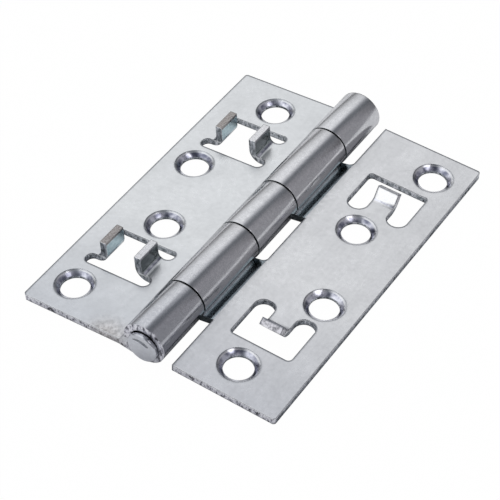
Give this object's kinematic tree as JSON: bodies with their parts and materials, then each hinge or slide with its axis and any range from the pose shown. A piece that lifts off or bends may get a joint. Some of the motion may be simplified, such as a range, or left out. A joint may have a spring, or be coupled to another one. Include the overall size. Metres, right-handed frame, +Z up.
{
  "type": "interlocking butt hinge",
  "caption": "Steel butt hinge lying open, with rolled knuckles on a fixed pin, upright tabs on one leaf and slots with angled tabs on the other.",
  "frame": {"origin": "on the surface that the open hinge lies on, straight below the pin axis at mid-length", "axes": "+Y along the pin, +X towards the leaf with slots, +Z up, away from the surface, on the side of the countersinks"},
  "size_m": [0.0754, 0.1028, 0.012],
  "materials": {
    "plated_sheet": "satin zinc plate, slightly mottled",
    "pin_steel": "bright zinc plate, scuffed by peening"
  },
  "bodies": {
    "tab_side": {"tab_leaf": "plated_sheet", "hinge_pin": "pin_steel"},
    "slot_side": {"slot_leaf": "plated_sheet"}
  },
  "joints": [
    {"name": "leaf_swing", "type": "hinge", "parent": "tab_side", "child": "slot_side", "pos_m": [0, 0, 0.006], "axis": [0, -1, 0], "range_deg": [-115, 184.86]}
  ]
}
